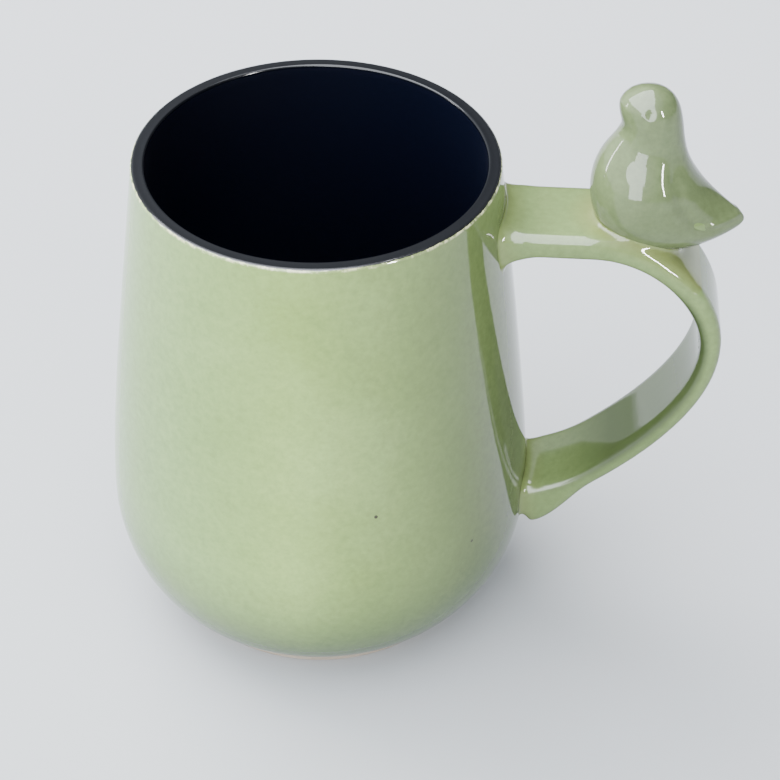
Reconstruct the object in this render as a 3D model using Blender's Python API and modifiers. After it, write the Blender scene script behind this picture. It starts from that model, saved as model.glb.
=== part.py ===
# Glazed stoneware mug with a small bird figure seated on its strap handle.
# Lengths are metres and +Z is up. The mug stands on z = 0, its handle points
# to +X, and the origin is below the middle of the whole object's box.

import math

import bmesh
import bpy
import numpy as np
from mathutils import Matrix

COLLECTION = "bird_handle_mug"
CUTTERS = "cutters"

# Fits
CLEARANCE = 0.0003          # between pieces that touch
GLAZE = 0.0004              # thickness of a coat of glaze
SLIP = 0.0008               # thickness of a slip joint
SLIP_BEAD = 0.0010          # how far a slip joint stands out around what it holds
TOOL_MARGIN = 0.0100        # how far a cutting tool runs past what it cuts

# Facets
TURN_STEPS = 40             # round the cup
FLANK_STEPS = 7             # levels along the cup's flank
ROUNDING_STEPS = 6          # along the quarter ellipse below the belly
LIP_STEPS = 3               # along each rounding of the lip
CORNER_STEPS = 2            # round each long edge of the strap
SEAT_FACETS = 24            # round the seat's disc
WELD = 0.00001              # points nearer than this become one

# Cup, outside
CUP_HEIGHT = 0.1133
RIM_RADIUS = 0.0380
BELLY_RADIUS = 0.0468
BELLY_HEIGHT = 0.0280       # level of the widest ring
BELLY_TURN_IN = 0.0188      # how far the lower rounding runs in
BELLY_TURN_DOWN = 0.0270    # how far the lower rounding runs down
FLANK_SOFTNESS = 0.20       # share of the flank over which it bends away from the belly

# Cup, inside and lip
LIP_WALL = 0.0030
BELLY_WALL = 0.0046
FLOOR_HEIGHT = 0.0075       # top of the inside floor above the table
LIP_ROUNDING = 0.0011
LINER_SKIRT = 0.0004        # how far the dark coat comes down past the lip's rounding

# Foot ring, bare clay
FOOT_HEIGHT = 0.0027
FOOT_RADIUS = 0.0345
FOOT_WIDTH = 0.0045
FOOT_CHAMFER = 0.0005
FOOT_RECESS = 0.0020

# Strap handle. Its centre line runs out level, round a bend and back down to the belly.
STRAP_WIDTH_TOP = 0.0205
STRAP_WIDTH_LOW = 0.0190
STRAP_EDGE = 0.0018         # rounding of the strap's long edges
STRAP_THICK_TOP = 0.0056
STRAP_THICK_LOW = 0.0046
HANDLE_DROP = 0.0136        # rim down to the level run's centre line
LEVEL_RUN = 0.0180          # length of the level run, from the wall
HANDLE_REACH = 0.0370       # outermost point of the centre line beyond the belly
BEND_HEIGHT = 0.0735        # level of the outermost point
LOW_ROOT_HEIGHT = 0.0270    # where the centre line meets the belly
LOW_ROOT_SLOPE = math.radians(30.0)
TOP_PULL = 0.0135           # how far each end of a curve keeps its direction
BEND_PULL_UP = 0.0130
BEND_PULL_DOWN = 0.0190
LOW_PULL = 0.0170
ROOT_BURY = 0.0040          # how far the centre line runs on into the wall
TOP_FLARE = (0.0006, 0.0028, 0.0070)     # outer side, inner side, length
LOW_FLARE = (0.0034, 0.0034, 0.0170)
TOP_STATIONS = 7            # sections along each stretch of the strap
BEND_STATIONS = 10
LOW_STATIONS = 15

# Bird figure
SEAT_RUN = 0.0267           # seat's middle from the wall at the handle's level
SEAT_LENGTH = 0.0170
SEAT_WIDTH = 0.0132
SEAT_DEPTH = 0.0068         # height of the disc the seat's slip is cut from
# Level above the seat, front, widest place, back, half width, pointedness of the back, in mm
BIRD_SECTIONS = (
    (-5.0, 3.0, 7.0, 11.0, 2.0, 0.50),
    (-4.0, 0.0, 6.5, 13.2, 4.2, 0.50),
    (-2.0, -4.8, 5.0, 16.8, 7.0, 0.60),
    (0.0, -7.9, 3.5, 21.2, 8.7, 0.80),
    (2.0, -9.2, 2.0, 23.0, 9.7, 0.95),
    (4.0, -9.9, 1.0, 21.0, 10.5, 0.90),
    (6.0, -10.4, 0.5, 18.4, 11.0, 0.80),
    (9.0, -10.7, 0.0, 14.6, 11.1, 0.60),
    (12.0, -10.5, 0.0, 12.1, 10.5, 0.50),
    (15.0, -9.8, 0.0, 10.2, 9.2, 0.50),
    (18.0, -8.5, 0.3, 8.9, 7.4, 0.50),
    (21.0, -6.4, 0.8, 8.1, 6.1, 0.50),
    (24.0, -4.9, 1.2, 7.6, 5.9, 0.50),
    (26.5, -5.8, 1.0, 7.1, 6.0, 0.50),
    (29.0, -6.2, 0.6, 6.4, 5.8, 0.50),
    (31.4, -4.8, 0.3, 4.7, 4.3, 0.50),
)
BIRD_CROWN = 33.1           # top of the head above the seat, in mm
BIRD_POINTS = 16            # points round each section
MM = 0.001


def clear_scene():
    for obj in list(bpy.data.objects):
        bpy.data.objects.remove(obj, do_unlink=True)


def new_collection(name):
    group = bpy.data.collections.new(name)
    bpy.context.scene.collection.children.link(group)
    return group


def glaze_or_clay(name, colour, roughness):
    material = bpy.data.materials.new(name)
    material.use_nodes = True
    shader = material.node_tree.nodes["Principled BSDF"]
    shader.inputs["Base Color"].default_value = (*colour, 1.0)
    shader.inputs["Roughness"].default_value = roughness
    shader.inputs["Metallic"].default_value = 0.0
    material.diffuse_color = (*colour, 1.0)
    return material


def add_object(name, mesh, group, material=None):
    obj = bpy.data.objects.new(name, mesh)
    group.objects.link(obj)
    if material is not None:
        mesh.materials.append(material)
    return obj


def as_cutter(obj):
    obj.hide_render = True
    obj.display_type = "WIRE"
    return obj


def cut(obj, tool, operation="DIFFERENCE"):
    modifier = obj.modifiers.new(f"{operation.lower()} {tool.name}", "BOOLEAN")
    modifier.operation = operation
    modifier.solver = "EXACT"
    modifier.object = tool


# Turned shapes


def flank_radius(height):
    """Outside radius above the belly: a hyperbola, upright at the belly and straight at the rim."""
    t = (height - BELLY_HEIGHT) / (CUP_HEIGHT - BELLY_HEIGHT)
    bend = math.hypot(t, FLANK_SOFTNESS) - FLANK_SOFTNESS
    full = math.hypot(1.0, FLANK_SOFTNESS) - FLANK_SOFTNESS
    return BELLY_RADIUS - (BELLY_RADIUS - RIM_RADIUS) * bend / full


def cup_radius(height):
    """Outside radius of the glazed cup at any height above its foot."""
    if height >= BELLY_HEIGHT:
        return flank_radius(height)
    drop = min((BELLY_HEIGHT - height) / BELLY_TURN_DOWN, 1.0)
    return BELLY_RADIUS - BELLY_TURN_IN * (1.0 - math.sqrt(1.0 - drop * drop))


def flank(inset, top):
    """Outside flank from the given top down to the belly, moved inwards by inset."""
    return [(flank_radius(z) - inset, z) for z in np.linspace(top, BELLY_HEIGHT, FLANK_STEPS)]


def lower_rounding(inset, bottom):
    """Quarter ellipse from the belly down to the given height, moved inwards by inset."""
    centre = BELLY_RADIUS - BELLY_TURN_IN
    wide = BELLY_TURN_IN - inset
    deep = BELLY_TURN_DOWN - inset
    last = math.asin(min((BELLY_HEIGHT - bottom) / deep, 1.0))
    angles = np.linspace(0.0, last, ROUNDING_STEPS + 1)[1:]
    return [(centre + wide * math.cos(a), BELLY_HEIGHT - deep * math.sin(a)) for a in angles]


def wall_at(height):
    """Wall thickness, coats included: it thins from the belly to the lip."""
    t = (height - BELLY_HEIGHT) / (CUP_HEIGHT - BELLY_HEIGHT)
    return BELLY_WALL + (LIP_WALL - BELLY_WALL) * max(t, 0.0)


def inside_face(depth, top):
    """Inside of the cup from the axis out over the floor and up to the given top.

    depth is how far the face lies behind the cup's inside surface."""
    floor = FLOOR_HEIGHT - depth
    centre = BELLY_RADIUS - BELLY_TURN_IN
    wide = BELLY_TURN_IN - BELLY_WALL + depth
    deep = BELLY_HEIGHT - floor
    angles = np.linspace(math.pi / 2, 0.0, ROUNDING_STEPS)
    points = [(0.0, floor), (centre / 2, floor)]
    points += [(centre + wide * math.cos(a), BELLY_HEIGHT - deep * math.sin(a)) for a in angles]
    for z in np.linspace(BELLY_HEIGHT, top, FLANK_STEPS)[1:]:
        points.append((flank_radius(z) - wall_at(z) + depth, z))
    return points


def lip(inset):
    """Top of the lip from the inside wall over to the outside, moved in by inset."""
    round_by = LIP_ROUNDING - inset
    top = CUP_HEIGHT - LIP_ROUNDING
    inner = flank_radius(top) - wall_at(top) + LIP_ROUNDING
    outer = flank_radius(top) - LIP_ROUNDING
    points = []
    for k in range(1, LIP_STEPS + 1):
        a = math.pi - k * math.pi / 2 / LIP_STEPS
        points.append((inner + round_by * math.cos(a), top + round_by * math.sin(a)))
    for k in range(LIP_STEPS + 1):
        a = math.pi / 2 - k * math.pi / 2 / LIP_STEPS
        points.append((outer + round_by * math.cos(a), top + round_by * math.sin(a)))
    return points


def turn(name, points, group, material=None, closed=False):
    """Turn a profile in the XZ plane round the cup's axis."""
    mesh = bpy.data.meshes.new(name)
    edges = [(k, k + 1) for k in range(len(points) - 1)]
    if closed:
        edges.append((len(points) - 1, 0))
    mesh.from_pydata([(r, 0.0, z) for r, z in points], edges, [])
    obj = add_object(name, mesh, group, material)
    screw = obj.modifiers.new("turn", "SCREW")
    screw.axis = "Z"
    screw.angle = 2.0 * math.pi
    screw.steps = TURN_STEPS
    screw.render_steps = TURN_STEPS
    screw.use_merge_vertices = True
    screw.merge_threshold = WELD
    screw.use_smooth_shade = True
    return obj


def glaze_line():
    """Level where the dark coat meets the green one, just below the lip."""
    return CUP_HEIGHT - LIP_ROUNDING - LINER_SKIRT


def make_mug_body(group, material):
    """Fired clay: floor, wall, lip and foot ring, set back under both coats."""
    back = GLAZE + CLEARANCE
    lip_start = CUP_HEIGHT - LIP_ROUNDING
    points = inside_face(back, lip_start)
    points += lip(back)[:-1]
    points += flank(back, lip_start)
    points += lower_rounding(back, FOOT_HEIGHT)
    points += [
        (FOOT_RADIUS, FOOT_HEIGHT - CLEARANCE),
        (FOOT_RADIUS, FOOT_CHAMFER),
        (FOOT_RADIUS - FOOT_CHAMFER, 0.0),
        (FOOT_RADIUS - FOOT_WIDTH + FOOT_CHAMFER, 0.0),
        (FOOT_RADIUS - FOOT_WIDTH, FOOT_CHAMFER),
        (FOOT_RADIUS - FOOT_WIDTH, FOOT_RECESS),
        (0.0, FOOT_RECESS),
    ]
    return turn("mug_body", points, group, material)


def make_liner_glaze(group, material):
    """Dark coat over the floor, the inside wall and the lip."""
    lip_start = CUP_HEIGHT - LIP_ROUNDING
    skirt = flank_radius(glaze_line())
    shown = inside_face(0.0, lip_start) + lip(0.0) + [(skirt, glaze_line())]
    hidden = inside_face(GLAZE, lip_start) + lip(GLAZE) + [(skirt - GLAZE, glaze_line())]
    return turn("liner_glaze", shown + hidden[::-1], group, material)


def make_outer_glaze(group, material, joint_tools):
    """Green coat on the outside, open where the handle is joined to the clay."""
    top = glaze_line() - CLEARANCE
    shown = flank(0.0, top) + lower_rounding(0.0, FOOT_HEIGHT)
    hidden = flank(GLAZE, top) + lower_rounding(GLAZE, FOOT_HEIGHT)
    obj = turn("outer_glaze", shown + hidden[::-1], group, material, closed=True)
    for tool in joint_tools:
        cut(obj, tool)
    return obj


def cup_tool(name, inset, group):
    """Solid cup shape, moved inwards by inset, that trims what meets the wall."""
    above = CUP_HEIGHT + TOOL_MARGIN
    points = [(0.0, above), (flank_radius(above) - inset, above)]
    points += flank(inset, CUP_HEIGHT - LIP_ROUNDING)
    points += lower_rounding(inset, FOOT_HEIGHT)
    points += [(0.0, FOOT_HEIGHT)]
    return as_cutter(turn(name, points, group))


# Handle


def bezier(p0, p1, p2, p3, steps):
    """Points along a cubic curve, its last point left out."""
    t = np.linspace(0.0, 1.0, steps, endpoint=False)[:, None]
    p0, p1, p2, p3 = (np.array(p) for p in (p0, p1, p2, p3))
    return (1 - t) ** 3 * p0 + 3 * (1 - t) ** 2 * t * p1 + 3 * (1 - t) * t ** 2 * p2 + t ** 3 * p3


def handle_level():
    return CUP_HEIGHT - HANDLE_DROP


def handle_line():
    """Centre line of the strap in the XZ plane, from the top root to the low root."""
    level = handle_level()
    wall = cup_radius(level)
    run_end = (wall + LEVEL_RUN, level)
    reach = (BELLY_RADIUS + HANDLE_REACH, BEND_HEIGHT)
    slope = np.array((math.cos(LOW_ROOT_SLOPE), math.sin(LOW_ROOT_SLOPE)))
    low = np.array((cup_radius(LOW_ROOT_HEIGHT), LOW_ROOT_HEIGHT))
    parts = [
        bezier((wall - ROOT_BURY, level), (wall, level),
               (run_end[0] - LEVEL_RUN / 3, level), run_end, TOP_STATIONS),
        bezier(run_end, (run_end[0] + TOP_PULL, level),
               (reach[0], reach[1] + BEND_PULL_UP), reach, BEND_STATIONS),
        bezier(reach, (reach[0], reach[1] - BEND_PULL_DOWN),
               low + slope * LOW_PULL, low, LOW_STATIONS),
        np.array([low, low - slope * ROOT_BURY]),
    ]
    return np.vstack(parts)


def flare(distance, amount, length):
    """Extra offset near a root: a hollow cove that dies away over its length."""
    return amount * np.clip(1.0 - distance / length, 0.0, 1.0) ** 2


def heel(distance, amount, length):
    """Extra offset near a root: a rounded heel, full at the root and eased away over its length."""
    return amount * (1.0 + np.cos(math.pi * np.clip(distance / length, 0.0, 1.0))) / 2


def strap_sections(extra):
    """Centre line, outward direction, outer and inner offsets, and half width along the strap."""
    line = handle_line()
    step = np.hypot(*np.diff(line, axis=0).T)
    along = np.concatenate(([0.0], np.cumsum(step)))
    from_top = np.maximum(along - ROOT_BURY, 0.0)
    from_low = np.maximum(along[-1] - along - ROOT_BURY, 0.0)
    tangent = np.gradient(line, along, axis=0)
    tangent /= np.linalg.norm(tangent, axis=1)[:, None]
    outward = np.stack((-tangent[:, 1], tangent[:, 0]), axis=1)
    blend = np.clip((handle_level() - line[:, 1]) / (handle_level() - BEND_HEIGHT), 0.0, 1.0)
    half = (STRAP_THICK_TOP + (STRAP_THICK_LOW - STRAP_THICK_TOP) * blend) / 2 + extra
    outer = half + flare(from_top, TOP_FLARE[0], TOP_FLARE[2])
    outer += heel(from_low, LOW_FLARE[0], LOW_FLARE[2])
    inner = half + flare(from_top, TOP_FLARE[1], TOP_FLARE[2])
    inner += flare(from_low, LOW_FLARE[1], LOW_FLARE[2])
    half_width = (STRAP_WIDTH_TOP + (STRAP_WIDTH_LOW - STRAP_WIDTH_TOP) * blend) / 2
    return line, outward, outer, inner, half_width


def strap_solid(name, group, extra=0.0, wider=0.0, material=None):
    """Loft of rounded rectangles, whose size changes along the centre line."""
    corners = ((1, 1, 0.0), (-1, 1, 90.0), (-1, -1, 180.0), (1, -1, 270.0))
    rings = []
    for middle, up, high, low, half in zip(*strap_sections(extra)):
        ring = []
        for side, face, start in corners:
            base = (high if face > 0 else -low) - face * STRAP_EDGE
            across = side * (half + wider - STRAP_EDGE)
            for k in range(CORNER_STEPS + 1):
                a = math.radians(start + 90.0 * k / CORNER_STEPS)
                lift = base + STRAP_EDGE * math.sin(a)
                x, z = middle + up * lift
                ring.append((x, across + STRAP_EDGE * math.cos(a), z))
        rings.append(ring)
    count = len(rings[0])
    faces = []
    for r in range(len(rings) - 1):
        for k in range(count):
            n = (k + 1) % count
            faces.append((r * count + k, r * count + n, (r + 1) * count + n, (r + 1) * count + k))
    faces.append(tuple(range(count))[::-1])
    faces.append(tuple((len(rings) - 1) * count + k for k in range(count)))
    mesh = bpy.data.meshes.new(name)
    mesh.from_pydata([point for ring in rings for point in ring], [], faces)
    shape = bmesh.new()
    shape.from_mesh(mesh)
    bmesh.ops.recalc_face_normals(shape, faces=shape.faces)
    shape.to_mesh(mesh)
    shape.free()
    mesh.shade_smooth()
    return add_object(name, mesh, group, material)


def make_handle(group, material, wall_tool):
    obj = strap_solid("handle", group, material=material)
    cut(obj, wall_tool)
    return obj


def joint_block(name, root, grow, group, material=None):
    """Rounded block round one root of the handle, which the cup's faces trim to a pad."""
    height, flares, thick, width, slope, outer_side = root
    tall = (thick + flares[0] + flares[1]) / math.cos(slope) + 2 * (SLIP_BEAD + grow)
    wide = width + 2 * (SLIP_BEAD + grow)
    middle = height + outer_side * (flares[0] - flares[1]) / 2
    bpy.ops.mesh.primitive_cube_add(size=1.0)
    obj = bpy.context.active_object
    obj.name = name
    obj.data.name = name
    for other in list(obj.users_collection):
        other.objects.unlink(obj)
    group.objects.link(obj)
    deep = 2 * (ROOT_BURY + thick)
    obj.data.transform(Matrix.Diagonal((deep, wide, tall, 1.0)))
    obj.location = (cup_radius(height), 0.0, middle)
    bevel = obj.modifiers.new("rounded", "BEVEL")
    bevel.width = STRAP_EDGE
    bevel.segments = CORNER_STEPS
    if material is not None:
        obj.data.materials.append(material)
    return obj


def make_bird_mesh(name):
    """Level sections stacked from the seat to the crown, closed at both ends."""
    turns = [2.0 * math.pi * k / BIRD_POINTS for k in range(BIRD_POINTS)]
    shape = bmesh.new()
    rings = []
    for level, front, widest, back, half, point in BIRD_SECTIONS:
        ring = []
        for a in turns:
            behind = math.cos(a) > 0.0
            along = widest + (back - widest if behind else widest - front) * math.cos(a)
            power = 2.0 * point if behind else 1.0
            side = half * math.copysign(abs(math.sin(a)) ** power, math.sin(a))
            ring.append(shape.verts.new((along * MM, side * MM, level * MM)))
        rings.append(ring)
    for low, high in zip(rings, rings[1:]):
        for k in range(BIRD_POINTS):
            n = (k + 1) % BIRD_POINTS
            shape.faces.new((low[k], low[n], high[n], high[k]))
    shape.faces.new(rings[0][::-1])
    crown = shape.verts.new((BIRD_SECTIONS[-1][2] * MM, 0.0, BIRD_CROWN * MM))
    for k in range(BIRD_POINTS):
        shape.faces.new((rings[-1][k], rings[-1][(k + 1) % BIRD_POINTS], crown))
    bmesh.ops.recalc_face_normals(shape, faces=shape.faces)
    mesh = bpy.data.meshes.new(name)
    shape.to_mesh(mesh)
    shape.free()
    for face in mesh.polygons:
        face.use_smooth = True
    return mesh


def seat_place():
    """Middle of the bird's seat on the strap's upper face, and how far the strap slopes there."""
    x = cup_radius(handle_level()) + SEAT_RUN
    line, outward, outer, _, _ = strap_sections(0.0)
    upper = (line + outward * outer[:, None])[:TOP_STATIONS + BEND_STATIONS]
    z = np.interp(x, upper[:, 0], upper[:, 1])
    before, after = np.interp((x - SEAT_WIDTH / 2, x + SEAT_WIDTH / 2), upper[:, 0], upper[:, 1])
    return x, z, math.atan2(before - after, SEAT_WIDTH)


def make_bird(group, material, seat_tool):
    obj = add_object("bird", make_bird_mesh("bird"), group, material)
    x, z, _ = seat_place()
    obj.location = (x, 0.0, z)
    soften = obj.modifiers.new("soften", "SUBSURF")
    soften.levels = 1
    soften.render_levels = 1
    cut(obj, seat_tool)
    return obj


def make_bird_joint(group, material, top_tool, foot_tool):
    """Slip pad between the figure's seat and the strap."""
    x, z, slope = seat_place()
    bpy.ops.mesh.primitive_cylinder_add(vertices=SEAT_FACETS, radius=0.5, depth=1.0)
    obj = bpy.context.active_object
    obj.name = "bird_joint"
    obj.data.name = "bird_joint"
    for other in list(obj.users_collection):
        other.objects.unlink(obj)
    group.objects.link(obj)
    long, wide = SEAT_LENGTH + 2 * SLIP_BEAD, SEAT_WIDTH + 2 * SLIP_BEAD
    obj.data.transform(Matrix.Diagonal((long, wide, SEAT_DEPTH, 1.0)))
    obj.data.transform(Matrix.Rotation(slope, 4, "Y"))
    obj.location = (x, 0.0, z)
    obj.data.materials.append(material)
    cut(obj, top_tool, "INTERSECT")
    cut(obj, foot_tool)
    return obj


def middle_of(pieces):
    """Middle of the finished pieces' common extent along X."""
    graph = bpy.context.evaluated_depsgraph_get()
    ends = []
    for obj in pieces:
        box = obj.evaluated_get(graph).bound_box
        ends += [obj.location.x + corner[0] for corner in box]
    return (min(ends) + max(ends)) / 2


def main():
    clear_scene()
    parts = new_collection(COLLECTION)
    tools = new_collection(CUTTERS)

    clay = glaze_or_clay("bare_stoneware", (0.55, 0.44, 0.36), 0.8)
    dark = glaze_or_clay("dark_glaze", (0.004, 0.005, 0.009), 0.08)
    green = glaze_or_clay("green_glaze", (0.41, 0.49, 0.33), 0.12)
    slip = glaze_or_clay("glazed_slip", (0.43, 0.49, 0.30), 0.15)

    pad_back = cup_tool("pad_back_tool", GLAZE, tools)
    pad_front = cup_tool("pad_front_tool", -SLIP, tools)
    handle_end = cup_tool("handle_end_tool", -SLIP - CLEARANCE, tools)

    roots = {
        "upper_handle_joint": (handle_level(), TOP_FLARE, STRAP_THICK_TOP,
                               STRAP_WIDTH_TOP, 0.0, 1),
        "lower_handle_joint": (LOW_ROOT_HEIGHT, LOW_FLARE, STRAP_THICK_LOW,
                               STRAP_WIDTH_LOW, LOW_ROOT_SLOPE, -1),
    }
    pads = []
    holes = []
    for name, root in roots.items():
        pad = joint_block(name, root, 0.0, parts, slip)
        cut(pad, pad_front, "INTERSECT")
        cut(pad, pad_back)
        pads.append(pad)
        holes.append(as_cutter(joint_block(f"{name}_tool", root, CLEARANCE, tools)))

    slip_top = as_cutter(strap_solid("slip_top_tool", tools, CLEARANCE + SLIP, TOOL_MARGIN))
    slip_foot = as_cutter(strap_solid("slip_foot_tool", tools, CLEARANCE, TOOL_MARGIN))
    seat_cut = as_cutter(strap_solid("seat_tool", tools, 2 * CLEARANCE + SLIP, TOOL_MARGIN))

    pieces = [
        make_mug_body(parts, clay),
        make_liner_glaze(parts, dark),
        make_outer_glaze(parts, green, holes),
        make_handle(parts, green, handle_end),
        make_bird(parts, green, seat_cut),
        make_bird_joint(parts, slip, slip_top, slip_foot),
    ] + pads

    # The cup's axis stands off the origin, so that the whole object is centred on it.
    place = bpy.data.objects.new("mug_place", None)
    parts.objects.link(place)
    place.location = (-middle_of(pieces), 0.0, 0.0)
    for obj in pieces + list(tools.objects):
        obj.parent = place


main()
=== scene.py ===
import math

import bmesh
import bpy
import numpy as np
from mathutils import Matrix, Vector


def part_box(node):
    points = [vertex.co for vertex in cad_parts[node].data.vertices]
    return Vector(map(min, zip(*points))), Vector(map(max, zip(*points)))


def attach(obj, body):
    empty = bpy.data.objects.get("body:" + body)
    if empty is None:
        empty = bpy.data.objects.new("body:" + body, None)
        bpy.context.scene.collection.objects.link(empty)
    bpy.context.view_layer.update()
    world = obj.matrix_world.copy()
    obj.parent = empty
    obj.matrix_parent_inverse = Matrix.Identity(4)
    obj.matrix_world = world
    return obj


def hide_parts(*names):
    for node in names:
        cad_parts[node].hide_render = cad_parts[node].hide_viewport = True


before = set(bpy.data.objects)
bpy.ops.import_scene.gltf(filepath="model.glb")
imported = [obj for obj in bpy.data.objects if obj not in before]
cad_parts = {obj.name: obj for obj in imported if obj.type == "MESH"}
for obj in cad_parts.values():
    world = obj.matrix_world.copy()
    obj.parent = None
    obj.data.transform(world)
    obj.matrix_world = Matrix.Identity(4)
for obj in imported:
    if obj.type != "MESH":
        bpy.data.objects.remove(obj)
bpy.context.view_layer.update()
mm = 0.001

# the cup is round, so the middle of the clay body's box is its axis, which stands at y = 0
bodyLow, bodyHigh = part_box("mug_body")
cupAxis = (bodyLow.x + bodyHigh.x) / 2
print("frame loaded, cup axis at x =", round(cupAxis / mm, 2), "mm")


def linear(hexCode):
    # sRGB hex to linear: a channel near black is divided by 12.92, a lighter one raised to 2.4
    channels = [int(hexCode[k:k + 2], 16) / 255 for k in (1, 3, 5)]
    values = [c / 12.92 if c <= 0.04045 else ((c + 0.055) / 1.055) ** 2.4 for c in channels]
    return (*values, 1.0)


def addNode(tree, kind, inputs=None, **settings):
    node = tree.nodes.new(kind)
    for key, value in settings.items():
        setattr(node, key, value)
    for key, value in (inputs or {}).items():
        if isinstance(value, bpy.types.NodeSocket):
            tree.links.new(value, node.inputs[key])
        else:
            node.inputs[key].default_value = value
    return node


def newMaterial(name):
    material = bpy.data.materials.new(name)
    material.use_nodes = True
    return material, material.node_tree, material.node_tree.nodes["Principled BSDF"]


def placeMesh(name, mesh, material=None):
    # the mesh, smooth and with one material, in an object at the origin
    mesh.name = name
    mesh.materials.clear()
    if material is not None:
        mesh.materials.append(material)
    mesh.shade_smooth()
    piece = bpy.data.objects.new(name, mesh)
    bpy.context.scene.collection.objects.link(piece)
    return piece


def newPiece(name, points, faces, material=None):
    mesh = bpy.data.meshes.new(name)
    mesh.from_pydata(np.asarray(points).reshape(-1, 3).tolist(), [], np.asarray(faces).tolist())
    return placeMesh(name, mesh, material)


def gridFaces(rows, columns, closed=False):
    # quads between neighbouring grid points; the columns always run round, the rows when closed
    i, j = np.meshgrid(np.arange(rows if closed else rows - 1), np.arange(columns), indexing="ij")
    down, across = (i + 1) % rows, (j + 1) % columns
    quads = (i * columns + j, i * columns + across, down * columns + across, down * columns + j)
    return np.stack(quads, -1).reshape(-1, 4)


def closePoles(piece, caps=False):
    # a grid row that is one point becomes one vertex, open ends get a face, and faces turn out
    shape = bmesh.new()
    shape.from_mesh(piece.data)
    bmesh.ops.remove_doubles(shape, verts=shape.verts, dist=1e-7)
    if caps:
        bmesh.ops.holes_fill(shape, edges=shape.edges)
    bmesh.ops.recalc_face_normals(shape, faces=shape.faces)
    shape.to_mesh(piece.data)
    shape.free()
    piece.data.shade_smooth()


def readPoints(mesh):
    points = np.empty(len(mesh.vertices) * 3)
    mesh.vertices.foreach_get("co", points)
    return points.reshape(-1, 3)


def readNormals(mesh):
    normals = np.empty(len(mesh.vertices) * 3)
    mesh.vertex_normals.foreach_get("vector", normals)
    return normals.reshape(-1, 3)


def readEdges(mesh):
    edges = np.empty(len(mesh.edges) * 2, int)
    mesh.edges.foreach_get("vertices", edges)
    return edges.reshape(-1, 2)


def writePoints(mesh, points):
    mesh.vertices.foreach_set("co", points.ravel())
    mesh.update()


cup = {
    "height": 113.3 * mm, "rimRadius": 38.0 * mm,
    "bellyRadius": 46.8 * mm, "bellyHeight": 28.0 * mm, "flankSoftness": 0.20,
    # how far the belly turns in towards the foot, and over what height
    "turnIn": 18.8 * mm, "turnDown": 27.0 * mm,
    "lipWall": 2.9 * mm, "bellyWall": 4.6 * mm, "floor": 7.5 * mm,
    # the lip's roundings, its dip, points over each part, and how many at its end are green
    "lipInner": 0.45 * mm, "lipOuter": 0.75 * mm, "lipDip": 0.02 * mm,
    "innerPoints": 9, "flatPoints": 8, "outerPoints": 11, "lipPoints": 8,
    "footHeight": 2.7 * mm, "footRadius": 34.5 * mm,
    "footWidth": 4.5 * mm, "footRecess": 2.0 * mm, "footRound": 0.6 * mm,
    # a coat's thickness, and how much deeper its hidden back and the clay behind it lie
    "coat": 0.4 * mm, "backDepth": 0.2 * mm, "clayDepth": 0.3 * mm,
    # the green coat's lower end: a bead's depth, rise and spread, and the roll under it
    "bead": 0.22 * mm, "beadRise": 1.3 * mm, "beadSpread": 0.9 * mm,
    "rollDepth": 0.3 * mm, "rollHeight": 0.4 * mm,
    # its upper end, tucked in behind the dark coat, inwards and down
    "tuckIn": 0.05 * mm, "tuckDown": 0.4 * mm,
    # traces of the potter's hand: size, waves round the cup, climb in radians a metre, start
    "waves": ((1.0, 2, 90, 0.6), (0.7, 3, -140, 0.0), (0.5, 5, 60, 0.0)),
    "waveDepth": 0.03 * mm, "waveClear": 3 * mm, "waveFade": 12 * mm,
    # grid points along each stretch of the profiles, and round the cup
    "floorPoints": 16, "cornerPoints": 28, "wallPoints": 44, "flankPoints": 90,
    "turnPoints": 44, "rollPoints": 9, "clayPoints": 80, "footPoints": 6, "columns": 384,
}


def cupRadius(z):
    # above the belly a hyperbola, upright at the belly and straight at the rim; below, an ellipse
    t = (z - cup["bellyHeight"]) / (cup["height"] - cup["bellyHeight"])
    soft = cup["flankSoftness"]
    bend = (np.hypot(t, soft) - soft) / (math.hypot(1, soft) - soft)
    upper = cup["bellyRadius"] - (cup["bellyRadius"] - cup["rimRadius"]) * bend
    drop = np.clip((cup["bellyHeight"] - z) / cup["turnDown"], 0, 1)
    lower = cup["bellyRadius"] - cup["turnIn"] * (1 - np.sqrt(1 - drop ** 2))
    return np.where(z >= cup["bellyHeight"], upper, lower)


def innerRadius(z, depth=0.0):
    # the wall thins evenly from the belly to the lip; below the belly the inside is an ellipse
    t = np.clip((z - cup["bellyHeight"]) / (cup["height"] - cup["bellyHeight"]), 0, 1)
    wall = cup["bellyWall"] + (cup["lipWall"] - cup["bellyWall"]) * t
    centre = cup["bellyRadius"] - cup["turnIn"]
    wide = cup["turnIn"] - cup["bellyWall"]
    deep = cup["bellyHeight"] - cup["floor"]
    drop = np.clip((cup["bellyHeight"] - z) / deep, 0, 1)
    lower = centre + wide * np.sqrt(1 - drop ** 2)
    return np.where(z >= cup["bellyHeight"], cupRadius(z) - wall, lower) + depth


def insideProfile(depth):
    # along the floor from the axis, round its corner and up the wall, depth behind the surface
    floor = cup["floor"] - depth
    centre = cup["bellyRadius"] - cup["turnIn"]
    wide = cup["turnIn"] - cup["bellyWall"] + depth
    deep = cup["bellyHeight"] - floor
    floorR = np.linspace(0, centre, cup["floorPoints"], endpoint=False)
    a = np.linspace(np.pi / 2, 0, cup["cornerPoints"], endpoint=False)
    wallZ = np.linspace(cup["bellyHeight"], cup["height"] - cup["lipInner"], cup["wallPoints"])
    r = np.concatenate((floorR, centre + wide * np.cos(a), innerRadius(wallZ, depth)))
    z = np.concatenate((np.full(len(floorR), floor), cup["bellyHeight"] - deep * np.sin(a), wallZ))
    return r, z


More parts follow.
